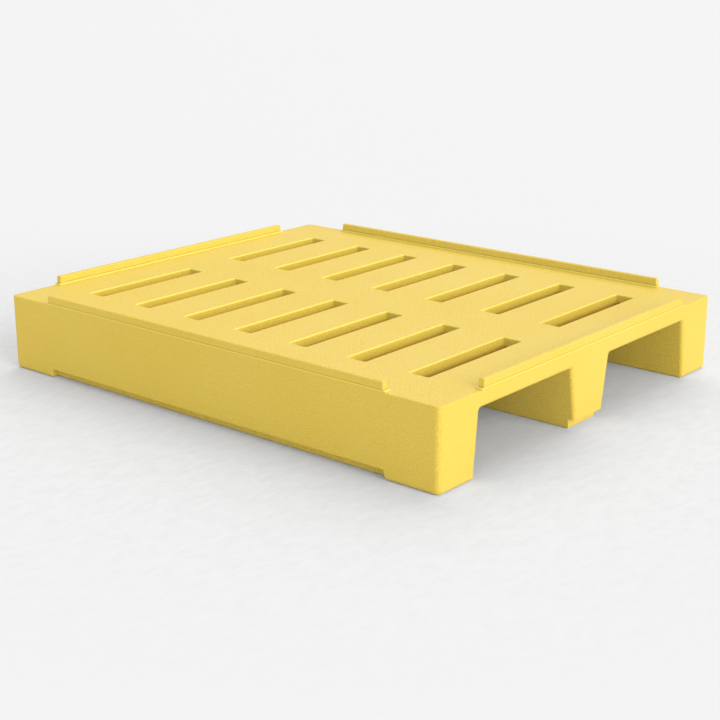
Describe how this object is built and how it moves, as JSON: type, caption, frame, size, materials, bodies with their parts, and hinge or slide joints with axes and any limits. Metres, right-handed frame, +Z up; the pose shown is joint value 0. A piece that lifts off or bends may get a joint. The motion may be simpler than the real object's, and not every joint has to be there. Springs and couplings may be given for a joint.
{
  "type": "spill containment pallet",
  "caption": "Low yellow moulded pallet with slotted deck over a hollow sump, stacking ridges, two fork tunnels and screw drain plugs in the runner ends.",
  "frame": {"origin": "centre of the plan, on the floor", "axes": "+X along the fork tunnels away from the drains, +Y across them to the left, +Z up out of the deck"},
  "size_m": [1.2, 1, 0.188],
  "materials": {
    "pallet_shell": "satin moulded polyethylene with a fine orange peel",
    "drain_bushing": "smooth moulded black plastic",
    "drain_seal": "matt black rubber",
    "drain_plug": "finely textured moulded black plastic"
  },
  "bodies": {
    "pallet": {"pallet_body": "pallet_shell", "drain_insert_left": "drain_bushing", "drain_insert_middle": "drain_bushing", "drain_insert_right": "drain_bushing"},
    "left_gasket": {"drain_gasket_left": "drain_seal"},
    "left_plug": {"drain_plug_left": "drain_plug"},
    "middle_gasket": {"drain_gasket_middle": "drain_seal"},
    "middle_plug": {"drain_plug_middle": "drain_plug"},
    "right_gasket": {"drain_gasket_right": "drain_seal"},
    "right_plug": {"drain_plug_right": "drain_plug"}
  },
  "joints": [
    {"name": "left_plug_travel", "type": "slide", "parent": "pallet", "child": "left_gasket", "axis": [-1, 0, 0], "range_m": [0, 0.0185]},
    {"name": "left_plug_turn", "type": "hinge", "parent": "left_gasket", "child": "left_plug", "pos_m": [-0.578, 0.445, 0.044], "axis": [-1, 0, 0], "range_deg": [0, 2880]},
    {"name": "middle_plug_travel", "type": "slide", "parent": "pallet", "child": "middle_gasket", "axis": [-1, 0, 0], "range_m": [0, 0.0185]},
    {"name": "middle_plug_turn", "type": "hinge", "parent": "middle_gasket", "child": "middle_plug", "pos_m": [-0.578, 0, 0.06], "axis": [-1, 0, 0], "range_deg": [0, 2880]},
    {"name": "right_plug_travel", "type": "slide", "parent": "pallet", "child": "right_gasket", "axis": [-1, 0, 0], "range_m": [0, 0.0185]},
    {"name": "right_plug_turn", "type": "hinge", "parent": "right_gasket", "child": "right_plug", "pos_m": [-0.578, -0.445, 0.044], "axis": [-1, 0, 0], "range_deg": [0, 2880]}
  ],
  "couplings": [
    {"joint": "left_plug_travel", "follows": "left_plug_turn", "m_per_rad": 0.00036749},
    {"joint": "middle_plug_travel", "follows": "middle_plug_turn", "m_per_rad": 0.00036749},
    {"joint": "right_plug_travel", "follows": "right_plug_turn", "m_per_rad": 0.00036749}
  ]
}
